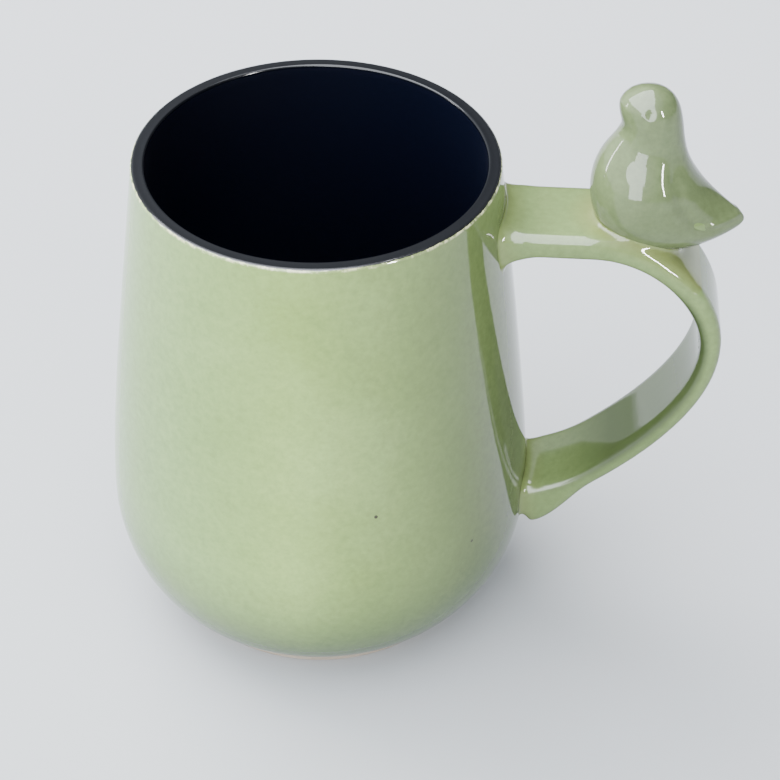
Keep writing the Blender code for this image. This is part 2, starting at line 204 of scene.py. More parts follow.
def lipProfile(depth):
    # a quarter circle at the inner edge, a level top, a larger quarter circle at the outer edge
    top = cup["height"] - depth
    inner, outer = cup["lipInner"], cup["lipOuter"]
    innerEdge = innerRadius(np.array(cup["height"] - inner)) + inner
    outerEdge = cupRadius(np.array(cup["height"] - outer)) - outer
    a = np.linspace(np.pi, np.pi / 2, cup["innerPoints"])[1:]
    b = np.linspace(np.pi / 2, 0, cup["outerPoints"])
    flat = np.linspace(innerEdge, outerEdge, cup["flatPoints"])[1:-1]
    dip = cup["lipDip"] * np.sin(np.pi * (flat - innerEdge) / (outerEdge - innerEdge))
    r = np.concatenate((innerEdge + (inner - depth) * np.cos(a), flat,
                        outerEdge + (outer - depth) * np.cos(b)))
    z = np.concatenate((top - inner + inner * np.sin(a), top - dip,
                        top - outer + outer * np.sin(b)))
    return r, z


def turned(name, radius, height, material, closed=False, wobble=None):
    # a point (r, z) of the profile goes to (r cos a, r sin a, z) about the cup's axis
    angle = np.linspace(0, 2 * np.pi, cup["columns"], endpoint=False)
    r, a = np.meshgrid(radius, angle, indexing="ij")
    z = np.meshgrid(height, angle, indexing="ij")[0]
    if wobble is not None:
        r = r - wobble(a, z)
    points = np.stack((cupAxis + r * np.cos(a), r * np.sin(a), z), -1)
    piece = newPiece(name, points, gridFaces(*r.shape, closed), material)
    closePoles(piece)
    return piece


def handWobble(a, z):
    # slow waves round and up the wall, a few hundredths of a millimetre deep, never outwards
    waves = sum(size * np.sin(turns * a + climb * z + start)
                for size, turns, climb, start in cup["waves"])
    highest = sum(row[0] for row in cup["waves"])
    fade = np.clip((cup["height"] - cup["waveClear"] - z) / cup["waveFade"], 0, 1)
    return cup["waveDepth"] * (highest - waves) * fade


# Celadon glaze: iron-tinted ash glaze, poured and fired to a gloss. It gives a soft grey-green
# with slow clouds and warmer pools in corners; a cream highlight under the lip is painted on.
glaze = {
    # a thick and a thin coat on each piece
    "cup": ("#93AF5B", "#A4C06E"), "strap": ("#778C54", "#83985E"), "bird": ("#66744B", "#74835A"),
    # of these tints the pale mint is painted light, the olive and the dark green of the strap's
    # inner bend are painted shade, and the cream is a painted highlight
    "paintedLightMint": "#819E66", "paintedShadeOlive": "#586440", "low": "#4A5C3C", "run": "#3C472A",
    "pool": "#8C8B4C", "highlightCream": "#E6E6B0", "liner": "#0C0E10", "speck": "#3C3A2A",
    # painted light and shade: a paler mint is painted on the cup's lit side, away from the handle,
    # and a darker olive as painted shade on the handle's side; the cup also gets darker towards the
    # foot and the strap lower down: each tint with its axis, where it starts, where it is
    # strongest, and how strong it is there
    "shifts": {
        "cup": (("paintedLightMint", "X", cupAxis - 4 * mm, cupAxis - 42 * mm, 1.0),
                ("paintedShadeOlive", "X", cupAxis, cupAxis + 43 * mm, 1.0),
                ("low", "Z", 41 * mm, 4 * mm, 1.0)),
        "strap": (("run", "Z", 94 * mm, 50 * mm, 0.2),),
        "bird": (),
    },
    # the noise between these two values is drawn out to the full change of shade
    "cloudSize": 34 * mm, "cloudRange": (0.35, 0.65),
    "mottleSize": 1.6 * mm, "mottleRange": (0.3, 0.7), "mottleShade": (0.88, 1.09),
    "rippleSize": 9 * mm, "rippleDepth": 0.04 * mm,
    # the ragged end on the lip, how far round the lip it lies, and the painted highlight's reach
    # below it
    "raggedSize": 1.9 * mm, "raggedDepth": 0.42 * mm, "lipTurn": math.radians(42),
    "fleckReach": 0.9 * mm, "fleckRange": (0.46, 0.58), "fleckLeast": 0.12,
    # how dark the thick coat of the strap and the bird gets where it is seen at a slant, and
    # between which slants, from 0 face on to 1 edge on
    "slantRange": (0.25, 0.85), "slantShade": 0.35,
    # the strap and the bird mirror the room a little less than the cup
    "roughness": 0.05, "ior": {"cup": 1.47, "strap": 1.4, "bird": 1.4},
    # each speck's place in mm and its size; the mottle takes its edge in and out
    "specks": (((15.3, -42.4, 53.3), 0.42 * mm), ((35.4, -30.3, 36.0), 0.36 * mm)),
    "speckEdge": 1.45, "speckStray": 0.9,
}


def addLipEdge(tree, colour, place, height, mottle):
    # the coat ends in a ragged line on the lip; radius less height grows steadily over the lip's
    # outer rounding and down the wall, so it measures how far below that line a point is
    ragged = addNode(tree, "ShaderNodeTexNoise", {
        "Vector": place, "Scale": 1 / glaze["raggedSize"], "Detail": 4.0, "Roughness": 0.7})
    flat = addNode(tree, "ShaderNodeVectorMath", {
        0: place, 1: (1, 1, 0), 2: (-cupAxis, 0, 0)}, operation="MULTIPLY_ADD")
    radius = addNode(tree, "ShaderNodeVectorMath", {0: flat.outputs[0]}, operation="LENGTH")
    fall = addNode(tree, "ShaderNodeMath", {0: radius.outputs["Value"], 1: height},
                   operation="SUBTRACT")
    level = addNode(tree, "ShaderNodeMath", {
        0: ragged.outputs[0], 1: -2 * glaze["raggedDepth"], 2: fall.outputs[0]},
        operation="MULTIPLY_ADD").outputs[0]
    lipRadius = float(cupRadius(np.array(cup["height"] - cup["lipOuter"])))
    turn = math.sin(glaze["lipTurn"]) - math.cos(glaze["lipTurn"])
    edge = lipRadius - cup["height"] + cup["lipOuter"] * turn - glaze["raggedDepth"]
    # painted highlight: cream flecks just under the lip, on the coat's outer rounding
    pale = addNode(tree, "ShaderNodeMapRange", {
        "Value": level, "From Min": edge + glaze["fleckReach"],
        "From Max": edge + glaze["fleckReach"] / 2})
    low, high = glaze["fleckRange"]
    fleck = addNode(tree, "ShaderNodeMapRange", {
        "Value": mottle, "From Min": low, "From Max": high, "To Min": glaze["fleckLeast"]})
    paintedHighlight = addNode(tree, "ShaderNodeMath", {0: pale.outputs[0], 1: fleck.outputs[0]},
                     operation="MULTIPLY")
    colour = addNode(tree, "ShaderNodeMix", {
        0: paintedHighlight.outputs[0], 6: colour, 7: linear(glaze["highlightCream"])}, data_type="RGBA").outputs[2]
    over = addNode(tree, "ShaderNodeMath", {0: level, 1: edge}, operation="LESS_THAN")
    return addNode(tree, "ShaderNodeMix", {
        0: over.outputs[0], 6: colour, 7: linear(glaze["liner"])}, data_type="RGBA").outputs[2]


def addSpecks(tree, colour, place, mottle):
    # small uneven iron specks at places given in millimetres from the foot of the cup's axis
    for (x, y, z), size in glaze["specks"]:
        middle = (cupAxis + x * mm, y * mm, z * mm)
        gap = addNode(tree, "ShaderNodeVectorMath", {0: place, 1: middle}, operation="DISTANCE")
        uneven = addNode(tree, "ShaderNodeMath", {
            0: mottle, 1: size * glaze["speckStray"], 2: gap.outputs["Value"]},
            operation="MULTIPLY_ADD")
        spot = addNode(tree, "ShaderNodeMath", {
            0: uneven.outputs[0], 1: size * glaze["speckEdge"]}, operation="LESS_THAN")
        colour = addNode(tree, "ShaderNodeMix", {
            0: spot.outputs[0], 6: colour, 7: linear(glaze["speck"])},
            data_type="RGBA").outputs[2]
    return colour


def addSlantShade(tree, colour):
    # light goes a longer way through the coloured coat where it is seen at a slant
    slant = addNode(tree, "ShaderNodeLayerWeight", {"Blend": 0.3})
    low, high = glaze["slantRange"]
    depth = addNode(tree, "ShaderNodeMapRange", {
        "Value": slant.outputs["Facing"], "From Min": low, "From Max": high,
        "To Min": 1.0, "To Max": glaze["slantShade"]})
    return addNode(tree, "ShaderNodeVectorMath", {
        0: colour, 3: depth.outputs[0]}, operation="SCALE").outputs[0]


def makeGlaze(name, kind):
    material, tree, shader = newMaterial(name)
    place = addNode(tree, "ShaderNodeTexCoord").outputs["Object"]
    split = addNode(tree, "ShaderNodeSeparateXYZ", {0: place})
    clouds = addNode(tree, "ShaderNodeTexNoise", {
        "Vector": place, "Scale": 1 / glaze["cloudSize"], "Detail": 3.0, "Roughness": 0.5})
    low, high = glaze["cloudRange"]
    cloudy = addNode(tree, "ShaderNodeMapRange", {
        "Value": clouds.outputs[0], "From Min": low, "From Max": high})
    mottle = addNode(tree, "ShaderNodeTexNoise", {
        "Vector": place, "Scale": 1 / glaze["mottleSize"], "Detail": 4.0,
        "Roughness": 0.65}).outputs[0]
    thick, thin = glaze[kind]
    colour = addNode(tree, "ShaderNodeMix", {
        0: cloudy.outputs[0], 6: linear(thick), 7: linear(thin)}, data_type="RGBA").outputs[2]
    for tint, axis, start, end, most in glaze["shifts"][kind]:
        side = addNode(tree, "ShaderNodeMapRange", {
            "Value": split.outputs[axis], "From Min": start, "From Max": end, "To Max": most},
            interpolation_type="SMOOTHSTEP" if axis == "Z" else "LINEAR")
        colour = addNode(tree, "ShaderNodeMix", {
            0: side.outputs[0], 6: colour, 7: linear(glaze[tint])}, data_type="RGBA").outputs[2]
    low, high = glaze["mottleRange"]
    darkest, palest = glaze["mottleShade"]
    fine = addNode(tree, "ShaderNodeMapRange", {
        "Value": mottle, "From Min": low, "From Max": high, "To Min": darkest, "To Max": palest})
    colour = addNode(tree, "ShaderNodeVectorMath", {
        0: colour, 3: fine.outputs[0]}, operation="SCALE").outputs[0]
    if kind == "cup":
        colour = addLipEdge(tree, colour, place, split.outputs["Z"], mottle)
        colour = addSpecks(tree, colour, place, mottle)
    else:
        colour = addSlantShade(tree, colour)
    if kind == "strap":
        # the strap's own attributes say where painted shade darkens the inner face of its bend
        # and where the glaze gathered
        for tint in ("run", "pool"):
            amount = addNode(tree, "ShaderNodeAttribute", attribute_name=tint)
            colour = addNode(tree, "ShaderNodeMix", {
                0: amount.outputs["Fac"], 6: colour, 7: linear(glaze[tint])},
                data_type="RGBA").outputs[2]
    tree.links.new(colour, shader.inputs["Base Color"])
    ripple = addNode(tree, "ShaderNodeTexNoise", {
        "Vector": place, "Scale": 1 / glaze["rippleSize"], "Detail": 2.0, "Roughness": 0.4})
    bump = addNode(tree, "ShaderNodeBump", {
        "Height": ripple.outputs[0], "Distance": glaze["rippleDepth"], "Strength": 1.0})
    tree.links.new(bump.outputs[0], shader.inputs["Normal"])
    shader.inputs["Roughness"].default_value = glaze["roughness"]
    shader.inputs["IOR"].default_value = glaze["ior"][kind]
    return material


# Liner glaze: iron-black gloss glaze with a blue cast, poured in and swilled round. It gives a
# deep blue-black inside with soft reflections, and a neutral black with sharper ones on the lip.
liner = {
    "deep": "#05091A", "lip": "#0A0C10", "deepRoughness": 0.32, "lipRoughness": 0.12, "ior": 1.3,
    # where the lip's colour starts and is full, below the top, and how far its edge strays
    "lipStart": 0.75 * mm, "lipFull": 0.05 * mm, "stray": 0.25 * mm, "streakSize": 5 * mm,
    "rippleSize": 7 * mm, "rippleDepth": 0.06 * mm,
}


def makeLiner():
    material, tree, shader = newMaterial("tenmokuLinerGlaze")
    place = addNode(tree, "ShaderNodeTexCoord").outputs["Object"]
    split = addNode(tree, "ShaderNodeSeparateXYZ", {0: place})
    grain = addNode(tree, "ShaderNodeTexNoise", {
        "Vector": place, "Scale": 1 / liner["streakSize"], "Detail": 4.0, "Roughness": 0.6})
    level = addNode(tree, "ShaderNodeMath", {
        0: grain.outputs[0], 1: liner["stray"], 2: split.outputs["Z"]}, operation="MULTIPLY_ADD")
    onLip = addNode(tree, "ShaderNodeMapRange", {
        "Value": level.outputs[0], "From Min": cup["height"] - liner["lipStart"],
        "From Max": cup["height"] - liner["lipFull"]})
    colour = addNode(tree, "ShaderNodeMix", {
        0: onLip.outputs[0], 6: linear(liner["deep"]), 7: linear(liner["lip"])},
        data_type="RGBA").outputs[2]
    tree.links.new(colour, shader.inputs["Base Color"])
    rough = addNode(tree, "ShaderNodeMapRange", {
        "Value": onLip.outputs[0], "To Min": liner["deepRoughness"],
        "To Max": liner["lipRoughness"]})
    tree.links.new(rough.outputs[0], shader.inputs["Roughness"])
    ripple = addNode(tree, "ShaderNodeTexNoise", {
        "Vector": place, "Scale": 1 / liner["rippleSize"], "Detail": 2.0})
    bump = addNode(tree, "ShaderNodeBump", {
        "Height": ripple.outputs[0], "Distance": liner["rippleDepth"], "Strength": 1.0})
    tree.links.new(bump.outputs[0], shader.inputs["Normal"])
    shader.inputs["IOR"].default_value = liner["ior"]
    return material


# Stoneware body: buff clay, trimmed on the wheel and left bare at the foot. It gives a dry
# pinkish beige with sandy grain.
clay = {
    "light": "#B9AB97", "dark": "#9B8C7A", "grit": "#74665A", "grittiness": 0.6,
    "gritRange": (0.62, 0.72), "grainSize": 0.6 * mm, "grainDepth": 0.08 * mm,
    "cloudSize": 9 * mm, "roughness": 0.85,
}


def makeClay():
    material, tree, shader = newMaterial("bareStoneware")
    place = addNode(tree, "ShaderNodeTexCoord").outputs["Object"]
    grain = addNode(tree, "ShaderNodeTexNoise", {
        "Vector": place, "Scale": 1 / clay["grainSize"], "Detail": 5.0, "Roughness": 0.7})
    cloud = addNode(tree, "ShaderNodeTexNoise", {"Vector": place, "Scale": 1 / clay["cloudSize"]})
    colour = addNode(tree, "ShaderNodeMix", {
        0: cloud.outputs[0], 6: linear(clay["dark"]), 7: linear(clay["light"])},
        data_type="RGBA").outputs[2]
    low, high = clay["gritRange"]
    gritty = addNode(tree, "ShaderNodeMapRange", {
        "Value": grain.outputs[0], "From Min": low, "From Max": high,
        "To Max": clay["grittiness"]})
    colour = addNode(tree, "ShaderNodeMix", {
        0: gritty.outputs[0], 6: colour, 7: linear(clay["grit"])}, data_type="RGBA").outputs[2]
    tree.links.new(colour, shader.inputs["Base Color"])
    bump = addNode(tree, "ShaderNodeBump", {
        "Height": grain.outputs[0], "Distance": clay["grainDepth"], "Strength": 0.8})
    tree.links.new(bump.outputs[0], shader.inputs["Normal"])
    shader.inputs["Roughness"].default_value = clay["roughness"]
    return material


cupGlaze = makeGlaze("celadonGlazeOnCup", "cup")
strapGlaze = makeGlaze("celadonGlazeOnStrap", "strap")
birdGlaze = makeGlaze("celadonGlazeOnBird", "bird")
linerGlaze = makeLiner()
bareClay = makeClay()


def makeLinerPiece():
    # floor, wall and lip in front, the same a coat's thickness behind
    shownR, shownZ = insideProfile(0.0)
    backR, backZ = insideProfile(cup["coat"])
    lipR, lipZ = (line[:-cup["lipPoints"]] for line in lipProfile(0.0))
    edgeR, edgeZ = (line[:-cup["lipPoints"]] for line in lipProfile(cup["coat"]))
    r = np.concatenate((shownR, lipR, edgeR[::-1], backR[::-1]))
    z = np.concatenate((shownZ, lipZ, edgeZ[::-1], backZ[::-1]))
    return turned("linerGlaze", r, z, linerGlaze)


def makeCoatPiece():
    # the coat starts on the lip's outer rounding and ends in a rolled edge above the foot
    shared = cup["lipPoints"] + 1
    lipR, lipZ = (line[-shared:] for line in lipProfile(0.0))
    start, belly = cup["height"] - cup["lipOuter"], cup["bellyHeight"]
    end = cup["footHeight"] + cup["rollHeight"]
    z = np.concatenate((lipZ, np.linspace(start, belly, cup["flankPoints"])[1:-1],
                        np.linspace(belly, end, cup["turnPoints"])))
    r = np.concatenate((lipR, cupRadius(z[shared:])))
    beadZ = cup["footHeight"] + cup["beadRise"]
    r = r + cup["bead"] * np.exp(-((z - beadZ) / cup["beadSpread"]) ** 2)
    a = np.linspace(0, np.pi, cup["rollPoints"])[1:]
    rollR = r[-1] - cup["rollDepth"] * (1 - np.cos(a))
    rollZ = z[-1] - cup["rollHeight"] * np.sin(a)
    backZ = z[:shared:-3]  # every third point is enough where it is hidden
    backR = cupRadius(backZ) - cup["coat"] - cup["backDepth"]
    tuckR, tuckZ = lipR[0] - cup["tuckIn"], lipZ[0] - cup["tuckDown"]
    return turned("outerGlaze", np.concatenate((r, rollR, backR, (tuckR,))),
                  np.concatenate((z, rollZ, backZ, (tuckZ,))), cupGlaze, True, handWobble)


def makeClayPiece():
    # behind both coats, with its foot ring rounded at both edges
    back = cup["coat"] + cup["clayDepth"]
    insideR, insideZ = insideProfile(back)
    edgeR, edgeZ = lipProfile(back)
    start = cup["height"] - cup["lipOuter"] - 1 * mm  # clear of the lip's roundings
    ledge, cove = 0.5 * mm, 0.4 * mm  # where the flank turns in to the foot ring
    flankZ = np.linspace(start, cup["footHeight"] + ledge, cup["clayPoints"])
    flankR = cupRadius(flankZ) - back - 0.1 * mm
    foot, soft = cup["footRadius"], cup["footRound"]
    inner = foot - cup["footWidth"]
    a = np.linspace(0, np.pi / 2, cup["footPoints"])
    outR, outZ = foot - soft + soft * np.cos(a), soft - soft * np.sin(a)
    inR, inZ = inner + soft - soft * np.sin(a), soft - soft * np.cos(a)
    recess, chamfer = cup["footRecess"], 0.3 * mm
    ringZ = (cup["footHeight"] - ledge + cove, cup["footHeight"] - ledge)
    r = np.concatenate((insideR, edgeR, flankR, (foot + cove, foot), outR, inR,
                        (inner, inner - chamfer, 0.0)))
    z = np.concatenate((insideZ, edgeZ, flankZ, ringZ, outZ, inZ,
                        (recess - chamfer, recess, recess)))
    return turned("clayBody", r, z, bareClay)


clayBody = makeClayPiece()
linerPiece = makeLinerPiece()
coatPiece = makeCoatPiece()
print("cup made:", len(coatPiece.data.vertices), "points in the green coat")


strap = {
    "widthTop": 20.5 * mm, "widthLow": 19.0 * mm, "thickTop": 5.6 * mm, "thickLow": 4.6 * mm,
    "edge": 2.1 * mm, "level": 99.7 * mm, "run": 18.0 * mm, "reach": 37.0 * mm,
    "bendHeight": 73.5 * mm, "lowRoot": 27.0 * mm, "lowSlope": math.radians(30),
    # how strongly the line is drawn on at each end of its two curves
    "topPull": 13.5 * mm, "bendPullUp": 13.0 * mm, "bendPullDown": 19.0 * mm, "lowPull": 17.0 * mm,
    # points along the level run, the bend and the way back down, and in each rounded corner
    "linePoints": (40, 60, 90), "cornerPoints": 7,
    # how deep the ends go into the wall, and how the strap thickens at each root: outside,
    # inside and over what length
    "bury": 1.6 * mm, "topFlare": (0.6 * mm, 2.8 * mm, 7.0 * mm),
    "lowFlare": (3.4 * mm, 3.4 * mm, 17.0 * mm),
    # a slab of wall at each root: its middle above the root, and its half height
    "topPatch": (-0.6 * mm, 9.5 * mm), "lowPatch": (0.3 * mm, 12.5 * mm),
    "patchTurn": 24, "patchSink": 0.22 * mm, "patchThick": 1.4 * mm, "patchPoints": 40,
    # how far the softened joins reach from the wall and from the strap's top under the bird,
    # and the oval round the bird's seat: its middle, half length and half width in mm
    "wallReach": 4.5 * mm, "seatReach": 3.2 * mm, "seatOval": (4.5, 15.5, 11.5),
    # under the bird the softening ends at this multiple of the oval's size, fades over that
    # share of it and stays above a level; a fade is made steeper by the last value
    "seatEnd": 1.25, "seatFade": 0.35, "seatLowest": 90 * mm, "fullness": 1.6,
    # rounds of softening and their strength: everywhere, at the joins, everywhere again; and
    # the edge of a voxel
    "soften": (6, 0.5), "softenJoins": (34, 0.6), "softenLast": (3, 0.4), "voxel": 0.42 * mm,
    # how strongly the pooled glaze and the painted shade on the bend's inner face show; the shade
    # starts this far out from the belly and this high, and comes to its full strength over the
    # second length
    "pool": 0.45, "inside": 0.9, "insideOut": (2 * mm, 16 * mm), "insideDown": (94 * mm, 9 * mm),
}


def curvePoints(p0, p1, p2, p3, count):
    # a cubic curve with two end points and two pulls, its last point left out
    t = np.linspace(0, 1, count, endpoint=False)[:, None]
    p0, p1, p2, p3 = (np.array(p) for p in (p0, p1, p2, p3))
    return (1 - t) ** 3 * p0 + 3 * (1 - t) ** 2 * t * p1 + 3 * (1 - t) * t ** 2 * p2 + t ** 3 * p3


def strapLine():
    # out level, round the bend and back down to the belly, in the plane y = 0
    level = strap["level"]
    levelPoints, bendPoints, lowPoints = strap["linePoints"]
    wall = float(cupRadius(np.array(level)))
    end = wall + strap["run"]
    reachX, reachZ = cup["bellyRadius"] + strap["reach"], strap["bendHeight"]
    slope = np.array((math.cos(strap["lowSlope"]), math.sin(strap["lowSlope"])))
    low = np.array((float(cupRadius(np.array(strap["lowRoot"]))), strap["lowRoot"]))
    return np.vstack((
        curvePoints((wall - strap["bury"], level), (wall, level),
                    (end - strap["run"] / 3, level), (end, level), levelPoints),
        curvePoints((end, level), (end + strap["topPull"], level),
                    (reachX, reachZ + strap["bendPullUp"]), (reachX, reachZ), bendPoints),
        curvePoints((reachX, reachZ), (reachX, reachZ - strap["bendPullDown"]),
                    low + slope * strap["lowPull"], low, lowPoints),
        np.array([low, low - slope * strap["bury"]])))


def strapFrame():
    # the line, its outward direction, and the strap's outer, inner and half width along it
    line = strapLine()
    along = np.concatenate(([0.0], np.cumsum(np.hypot(*np.diff(line, axis=0).T))))
    fromTop = np.maximum(along - strap["bury"], 0)
    fromLow = np.maximum(along[-1] - along - strap["bury"], 0)
    tangent = np.gradient(line, along, axis=0)
    tangent /= np.linalg.norm(tangent, axis=1)[:, None]
    outward = np.stack((-tangent[:, 1], tangent[:, 0]), 1)
    blend = np.clip((strap["level"] - line[:, 1]) / (strap["level"] - strap["bendHeight"]), 0, 1)
    half = (strap["thickTop"] + (strap["thickLow"] - strap["thickTop"]) * blend) / 2
    halfWidth = (strap["widthTop"] + (strap["widthLow"] - strap["widthTop"]) * blend) / 2

    def cove(distance, amount, length):
        return amount * np.clip(1 - distance / length, 0, 1) ** 2

    def heel(distance, amount, length):
        return amount * (1 + np.cos(np.pi * np.clip(distance / length, 0, 1))) / 2

    topFlare, lowFlare = strap["topFlare"], strap["lowFlare"]
    outer = half + cove(fromTop, topFlare[0], topFlare[2]) + heel(fromLow, lowFlare[0], lowFlare[2])
    inner = half + cove(fromTop, topFlare[1], topFlare[2]) + cove(fromLow, lowFlare[1], lowFlare[2])
    return line, outward, outer, inner, halfWidth


def strapShell():
    # rounded rectangles carried along the line: four quarter circles joined by straight runs
    line, outward, outer, inner, halfWidth = strapFrame()
    count = strap["cornerPoints"]
    quarter = np.linspace(0, np.pi / 2, count)
    turn = np.concatenate((quarter, quarter + np.pi / 2, quarter + np.pi, quarter + 1.5 * np.pi))
    side = np.repeat((1, -1, -1, 1), count)
    face = np.repeat((1, 1, -1, -1), count)
    edge = strap["edge"]
    high = np.where(face > 0, outer[:, None] - edge, -(inner[:, None] - edge))
    lift = high + edge * np.sin(turn)
    across = side * (halfWidth[:, None] - edge) + edge * np.cos(turn)
    x = line[:, :1] + outward[:, :1] * lift
    z = line[:, 1:] + outward[:, 1:] * lift
    return np.stack((cupAxis + x, across, z), -1)


def wallPatch(height, tall):
    # a closed slab of the cup's wall round one root, just behind the coat's face
    count = strap["patchPoints"]
    a = np.radians(np.linspace(-strap["patchTurn"], strap["patchTurn"], count))
    z = height + np.linspace(-tall, tall, count)[:, None]
    shownR = cupRadius(z) - strap["patchSink"]
    backR = shownR - strap["patchThick"]
    level = np.broadcast_to(z, (count, count))
    shown, back = (np.stack((cupAxis + r * np.cos(a), r * np.sin(a), level), -1)
                   for r in (shownR, backR))
    patch = newPiece("wallPatch", np.concatenate((shown, back[:, ::-1]), axis=1),
                     gridFaces(count, 2 * count))
    closePoles(patch, caps=True)
    return patch


bird = {
    # the seat's middle from the cup's axis, its level, the crown above it in mm, and the points
    # round each section
    "seatX": 66.37 * mm, "seatZ": 100.87 * mm, "crown": 33.1, "points": 16,
    # in mm: level above the seat, front, widest place, back, half width; then how pointed the
    # back is, from 0.5 for round
    "sections": (
        (-5.0, 3.0, 7.0, 11.0, 2.0, 0.50), (-4.0, 0.0, 6.5, 13.2, 4.2, 0.50),
        (-2.0, -4.8, 5.0, 16.8, 7.0, 0.60), (0.0, -7.9, 3.5, 21.2, 8.7, 0.80),
        (2.0, -9.2, 2.0, 23.0, 9.7, 0.95), (4.0, -9.9, 1.0, 21.0, 10.5, 0.90),
        (6.0, -10.4, 0.5, 18.4, 11.0, 0.80), (9.0, -10.7, 0.0, 14.6, 11.1, 0.60),
        (12.0, -10.5, 0.0, 12.1, 10.5, 0.50), (15.0, -9.8, 0.0, 10.2, 9.2, 0.50),
        (18.0, -8.5, 0.3, 8.9, 7.4, 0.50), (21.0, -6.4, 0.8, 8.1, 6.1, 0.50),
        (24.0, -4.9, 1.2, 7.6, 5.9, 0.50), (26.5, -5.8, 1.0, 7.1, 6.0, 0.50),
        (29.0, -6.2, 0.6, 6.4, 5.8, 0.50), (31.4, -4.8, 0.3, 4.7, 4.3, 0.50)),
    # place along and up, size, and depth or height, in mm; the eyes are above a level and out
    # from the middle, and the beak is a little flattened from the sides
    "eye": (0.2, 29.4, 0.85, 0.35), "headLevel": 20, "cheek": 2.5,
    "beak": (-7.4, 30.2, 1.5, 0.7), "beakPinch": 1.1,
    # the fold down each side: its place along at each level, its strength at each level, its
    # width and depth, and how far from the middle it starts and is full
    "foldLevels": (0, 3, 6, 10, 15, 20), "foldAlong": (16.0, 13.5, 10.8, 8.2, 6.4, 5.6),
    "foldEnds": (1, 4, 14, 21), "foldStrength": (0, 1, 0.8, 0),
    "foldWidth": 1.5, "foldDepth": 0.8, "foldSides": (1, 3),
    # the low ridge along each side of the tail
    "ridgeEnds": (12, 15, 20, 22), "ridgeStrength": (0, 1, 1, 0),
    "ridgeLevel": 3.6, "ridgeWidth": 0.6, "ridgeHeight": 0.35, "ridgeSide": 1.5,
    # the figure's lower part inside the strap's own mesh: up to this level, drawn in to this
    # share of its width about this place along
    "stubLevel": 6.0, "stubShare": 0.965, "stubMiddle": 4 * mm,
}


def birdCage(name, rows):
    # level sections from the seat to the crown; each is two half ellipses that meet at its
    # widest place, the rear one drawn to a point by raising its sine to a power
    a = np.linspace(0, 2 * np.pi, bird["points"], endpoint=False)
    level, front, widest, back, half, point = (v[:, None] for v in np.array(rows).T)
    rear = np.cos(a) > 0
    along = widest + np.where(rear, back - widest, widest - front) * np.cos(a)
    power = np.where(rear, 2 * point, 1.0)
    side = half * np.sign(np.sin(a)) * np.abs(np.sin(a)) ** power
    x = cupAxis + bird["seatX"] + along * mm
    points = np.stack((x, side * mm, np.broadcast_to(bird["seatZ"] + level * mm, x.shape)), -1)
    return newPiece(name, points, gridFaces(*x.shape))


def applied(piece):
    # the piece's mesh with its modifiers applied, the piece itself removed
    graph = bpy.context.evaluated_depsgraph_get()
    mesh = bpy.data.meshes.new_from_object(piece.evaluated_get(graph))
    bpy.data.objects.remove(piece, do_unlink=True)
    return mesh


def subdivided(piece, levels):
    # the piece's mesh after so many rounds of subdivision
    soften = piece.modifiers.new("soften", "SUBSURF")
    soften.levels = levels
    soften.render_levels = levels
    return applied(piece)


def closeCage(piece, crown=None):
    # the lowest ring gets a face, and the top one a crown point or a face
    shape = bmesh.new()
    shape.from_mesh(piece.data)
    shape.verts.ensure_lookup_table()
    count = bird["points"]
    shape.faces.new([shape.verts[k] for k in range(count)])
    top = [shape.verts[len(shape.verts) - count + k] for k in range(count)]
    if crown is None:
        shape.faces.new(top)
    else:
        tip = shape.verts.new(crown)
        for k in range(count):
            shape.faces.new((top[k], top[(k + 1) % count], tip))
    bmesh.ops.recalc_face_normals(shape, faces=shape.faces)
    shape.to_mesh(piece.data)
    shape.free()


def sculptBird(points, normals):
    # bumps and dents are bell curves round a place, pushed along the surface's own direction
    x = (points[:, 0] - cupAxis - bird["seatX"]) / mm
    y = points[:, 1] / mm
    z = (points[:, 2] - bird["seatZ"]) / mm
    eyeX, eyeZ, eyeSize, eyeDepth = bird["eye"]
    onCheek = (z > bird["headLevel"]) & (np.abs(y) > bird["cheek"])
    fromEye = np.hypot(x - eyeX, z - eyeZ)
    push = -np.where(onCheek, eyeDepth * np.exp(-(fromEye / eyeSize) ** 2), 0)
    beakX, beakZ, beakSize, beakPush = bird["beak"]
    fromBeak = np.sqrt((x - beakX) ** 2 + (z - beakZ) ** 2 + (y * bird["beakPinch"]) ** 2)
    push += beakPush * np.exp(-(fromBeak / beakSize) ** 2)
    # a fold runs down each side from the nape to the tail, with the body full in front of it
    foldX = np.interp(z, bird["foldLevels"], bird["foldAlong"])
    fold = np.interp(z, bird["foldEnds"], bird["foldStrength"])
    fold *= np.interp(np.abs(y), bird["foldSides"], (0, 1))
    push -= bird["foldDepth"] * fold * np.exp(-((x - foldX) / bird["foldWidth"]) ** 2)
    ridge = np.interp(x, bird["ridgeEnds"], bird["ridgeStrength"])
    ridge *= np.clip(np.abs(y) / bird["ridgeSide"], 0, 1)
    fromRidge = (z - bird["ridgeLevel"]) / bird["ridgeWidth"]
    push += bird["ridgeHeight"] * ridge * np.exp(-fromRidge ** 2)
    return points + normals * push[:, None] * mm


def makeBird():
    rows = bird["sections"]
    crown = (cupAxis + bird["seatX"] + rows[-1][2] * mm, 0.0, bird["seatZ"] + bird["crown"] * mm)
    cage = birdCage("birdCage", rows)
    closeCage(cage, crown)
    mesh = subdivided(cage, 3)
    writePoints(mesh, sculptBird(readPoints(mesh), readNormals(mesh)))
    piece = placeMesh("birdFigure", mesh, birdGlaze)
    finish = piece.modifiers.new("finish", "SUBSURF")
    finish.levels = 1
    finish.render_levels = 1
    return piece


def seatStub():
    # the figure's lower part, drawn in a little so that it ends inside the figure
    cage = birdCage("stubCage", [row for row in bird["sections"] if row[0] <= bird["stubLevel"]])
    closeCage(cage)
    mesh = subdivided(cage, 2)
    points = readPoints(mesh)
    middle = np.array((cupAxis + bird["seatX"] + bird["stubMiddle"], 0.0))
    points[:, :2] = middle + (points[:, :2] - middle) * bird["stubShare"]
    writePoints(mesh, points)
    return placeMesh("seatStub", mesh)


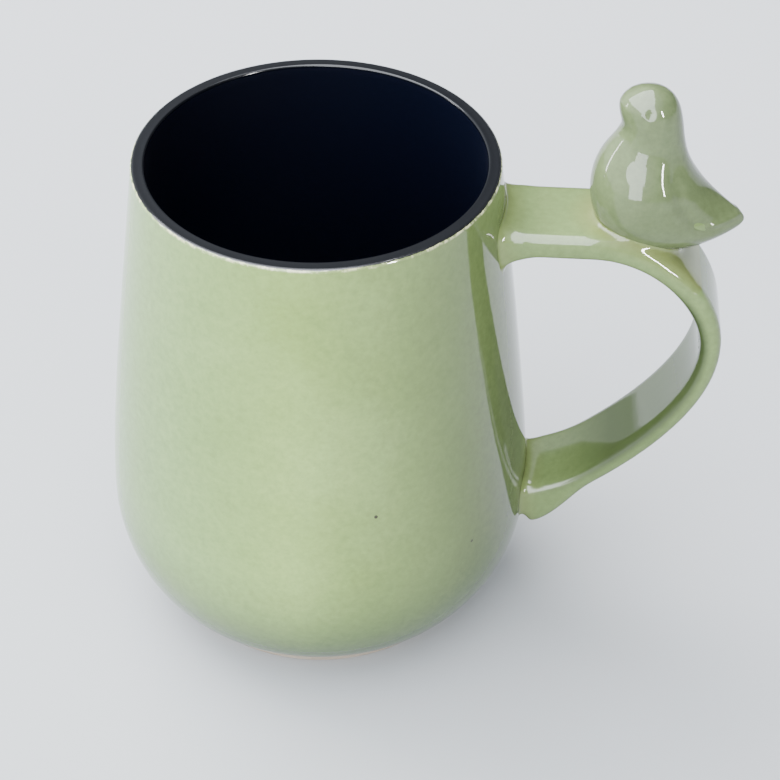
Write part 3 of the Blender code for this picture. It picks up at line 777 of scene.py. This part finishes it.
def joinedPieces(pieces, name):
    # one piece with the meshes of all of them, which are removed
    joined = bmesh.new()
    for piece in pieces:
        joined.from_mesh(piece.data)
    mesh = bpy.data.meshes.new(name)
    joined.to_mesh(mesh)
    joined.free()
    for piece in pieces:
        bpy.data.objects.remove(piece, do_unlink=True)
    return placeMesh(name, mesh)


def softened(points, edges, weights, rounds):
    # each round moves a point towards the mean of its neighbours by its weight
    count = len(points)
    a, b = edges.T
    degree = np.bincount(np.concatenate((a, b)), minlength=count)[:, None]
    for _ in range(rounds):
        total = np.stack([np.bincount(a, points[b, k], count) + np.bincount(b, points[a, k], count)
                          for k in range(3)], -1)
        points = points + weights[:, None] * (total / degree - points)
    return points


def joinWeights(points):
    # 1 at the cup's wall, and 1 under the bird's seat, each falling to 0 a little way off
    x = points[:, 0] - cupAxis
    beyondWall = np.hypot(x, points[:, 1]) - cupRadius(points[:, 2])
    nearWall = np.clip(1 - beyondWall / strap["wallReach"], 0, 1)
    line, outward, outer, _, _ = strapFrame()
    levelPoints, bendPoints, _ = strap["linePoints"]
    upper = (line + outward * outer[:, None])[:levelPoints + bendPoints]
    strapTop = np.interp(x, upper[:, 0], upper[:, 1])
    above = np.abs(points[:, 2] - strapTop) / strap["seatReach"]
    middle, halfLength, halfWidth = strap["seatOval"]
    along = ((x - bird["seatX"]) / mm - middle) / halfLength
    fromSeat = np.hypot(along, points[:, 1] / mm / halfWidth)
    withinOval = np.clip((strap["seatEnd"] - fromSeat) / strap["seatFade"], 0, 1)
    nearSeat = np.clip(1 - above, 0, 1) * withinOval
    return nearWall, np.where(points[:, 2] > strap["seatLowest"], nearSeat, 0)


def paintedShadeWeight(points):
    # painted shade on the inner face of the bend: 1 there, 0 on the outer face and at the wall
    line, outward, _, inner, _ = strapFrame()
    line, outward, inner = line[::4], outward[::4], inner[::4]  # every fourth place is enough
    gap = points[:, None, ::2] - np.array((cupAxis, 0)) - line
    nearest = np.argmin((gap ** 2).sum(-1), axis=1)
    lift = np.take_along_axis(gap, nearest[:, None, None], 1)[:, 0]
    side = (lift * outward[nearest]).sum(-1) / inner[nearest]
    beyondBelly = points[:, 0] - cupAxis - cup["bellyRadius"]
    (outFrom, outOver), (downFrom, downOver) = strap["insideOut"], strap["insideDown"]
    onBend = np.clip((beyondBelly - outFrom) / outOver, 0, 1)
    onBend *= np.clip((downFrom - points[:, 2]) / downOver, 0, 1)
    return onBend * np.clip(-side * strap["fullness"], 0, 1)


def makeStrap():
    # the strap, the walls at its roots and the bird's seat grow together in one voxel mesh,
    # whose joins are then softened as the melted glaze rounds them
    shape = strapShell()
    shell = newPiece("strapShell", shape, gridFaces(*shape.shape[:2]))
    closePoles(shell, caps=True)
    patches = [wallPatch(root + rise, tall) for root, (rise, tall) in (
        (strap["level"], strap["topPatch"]), (strap["lowRoot"], strap["lowPatch"]))]
    union = joinedPieces([shell, seatStub()] + patches, "strapUnion")
    remesh = union.modifiers.new("union", "REMESH")
    remesh.mode = "VOXEL"
    remesh.voxel_size = strap["voxel"]
    mesh = applied(union)
    points = readPoints(mesh)
    edges = readEdges(mesh)
    nearWall, nearSeat = joinWeights(points)
    joins = np.clip(np.maximum(nearWall, nearSeat) * strap["fullness"], 0, 1)
    everywhere = np.ones(len(points))
    for (rounds, strength), where in ((strap["soften"], everywhere), (strap["softenJoins"], joins),
                                      (strap["softenLast"], everywhere)):
        points = softened(points, edges, where * strength, rounds)
    writePoints(mesh, points)
    # the run attribute is painted shade on the bend's inner face; the pool is where the glaze
    # gathered
    for name, value in (("pool", strap["pool"] * np.maximum(nearSeat, 0.5 * nearWall)),
                        ("run", strap["inside"] * paintedShadeWeight(points))):
        layer = mesh.attributes.new(name, "FLOAT", "POINT")
        layer.data.foreach_set("value", np.clip(value, 0, 1))
    return placeMesh("strapHandle", mesh, strapGlaze)


birdPiece = makeBird()
print("bird made:", len(birdPiece.data.vertices), "points before its last subdivision")
strapPiece = makeStrap()
print("strap made:", len(strapPiece.data.vertices), "points")

strapNodes = ("handle", "upper_handle_joint", "lower_handle_joint", "bird_joint")
for piece, slot, nodes in (
        (clayBody, "bare_stoneware", ("mug_body",)), (linerPiece, "dark_glaze", ("liner_glaze",)),
        (coatPiece, "green_glaze", ("outer_glaze",)), (strapPiece, "green_glaze", strapNodes),
        (birdPiece, "green_glaze", ("bird",))):
    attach(piece, "root")
    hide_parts(*nodes)


stage = {
    "floor": "#C0C2C4", "floorSize": 6.0, "floorRoughness": 0.9, "sky": "#E9EEF6",
    # clouds in the floor's paint: how many to a metre, and how much darker and paler
    "floorClouds": 6.0, "floorShade": (0.97, 1.03),
    # the room is brightest round this direction, over a dim light from everywhere; the light
    # grows between these two values of the direction's nearness to it, from -1 to 1
    "brightest": (-0.62, -0.30, 0.72), "room": 0.25, "dome": 4.6, "grows": (-0.1, 0.95),
    # the camera's place from the foot of the cup's axis, and its angles in degrees
    "camera": (35.36 * mm, -376.37 * mm, 372.8 * mm), "pitch": 40.416, "turn": 3.0, "roll": 0.714,
    "lens": 102.92,
    # name, middle, target, width, height, power in watts, colour, and whether it only shows as
    # a reflection in the glaze; the others light the scene and show in no reflection
    "lights": (
        ("leftWindow", (-0.72, 0.78, 0.92), (0, 0, 0.06), 1.3, 1.2, 38.0, "#FBFCFF", False),
        ("ceilingPanel", (-0.72, -1.20, 1.10), (-0.72, -1.20, 0), 1.9, 3.7, 400.0, "#F4F8FF", True),
        ("frontWindow", (-0.72, -3.05, 0.60), (-0.72, 0, 0.6), 1.6, 1.0, 90.0, "#F4F8FF", True),
        ("curtainGap", (1.11, -1.04, 0.60), (0, 0, 0.08), 0.13, 0.75, 70.0, "#FFFFFF", True),
        ("leftGap", (-1.48, 0.05, 0.34), (0, 0, 0.08), 0.10, 0.50, 7.0, "#FFFFFF", True),
    ),
}


def makeFloor():
    material, tree, shader = newMaterial("paintedBoard")
    # matt emulsion on board: an even pale grey with a faint cloud
    place = addNode(tree, "ShaderNodeTexCoord").outputs["Object"]
    cloud = addNode(tree, "ShaderNodeTexNoise", {
        "Vector": place, "Scale": stage["floorClouds"], "Detail": 3.0})
    darkest, palest = stage["floorShade"]
    shade = addNode(tree, "ShaderNodeMapRange", {
        "Value": cloud.outputs[0], "To Min": darkest, "To Max": palest})
    colour = addNode(tree, "ShaderNodeVectorMath", {
        0: linear(stage["floor"])[:3], 3: shade.outputs[0]}, operation="SCALE")
    tree.links.new(colour.outputs[0], shader.inputs["Base Color"])
    shader.inputs["Roughness"].default_value = stage["floorRoughness"]
    half = stage["floorSize"] / 2
    corners = [(-half, -half, 0), (half, -half, 0), (half, half, 0), (-half, half, 0)]
    floor = newPiece("floor", corners, [(0, 1, 2, 3)], material)


def addLight(name, middle, target, wide, tall, power, colour, onlyReflected):
    light = bpy.data.lights.new(name, "AREA")
    light.shape = "RECTANGLE"
    light.size = wide
    light.size_y = tall
    light.energy = power
    light.color = linear(colour)[:3]
    lamp = bpy.data.objects.new(name, light)
    bpy.context.scene.collection.objects.link(lamp)
    lamp.location = middle
    lamp.rotation_euler = (lamp.location - Vector(target)).to_track_quat("Z", "Y").to_euler()
    lamp.visible_diffuse = not onlyReflected
    lamp.visible_glossy = onlyReflected


makeFloor()
for row in stage["lights"]:
    addLight(*row)

world = bpy.data.worlds.new("paleRoom")
bpy.context.scene.world = world
world.use_nodes = True
# the light grows smoothly from the room's dim side to its brightest direction
sky = world.node_tree
direction = addNode(sky, "ShaderNodeTexCoord").outputs["Generated"]
towards = addNode(sky, "ShaderNodeVectorMath", {
    0: direction, 1: Vector(stage["brightest"]).normalized()}, operation="DOT_PRODUCT")
total = addNode(sky, "ShaderNodeMapRange", {
    "Value": towards.outputs["Value"],
    "From Min": stage["grows"][0], "From Max": stage["grows"][1],
    "To Min": stage["room"], "To Max": stage["dome"]}, interpolation_type="SMOOTHSTEP")
sky.nodes["Background"].inputs["Color"].default_value = linear(stage["sky"])
sky.links.new(total.outputs[0], sky.nodes["Background"].inputs["Strength"])

lens = bpy.data.cameras.new("camera")
lens.lens = stage["lens"]
lens.sensor_width = 36.0
camera = bpy.data.objects.new("camera", lens)
bpy.context.scene.collection.objects.link(camera)
alongX, alongY, height = stage["camera"]
camera.matrix_world = (Matrix.Translation((cupAxis + alongX, alongY, height))
                       @ Matrix.Rotation(math.radians(stage["turn"]), 4, "Z")
                       @ Matrix.Rotation(math.radians(90 - stage["pitch"]), 4, "X")
                       @ Matrix.Rotation(math.radians(stage["roll"]), 4, "Z"))
bpy.context.scene.camera = camera
print("stage set")
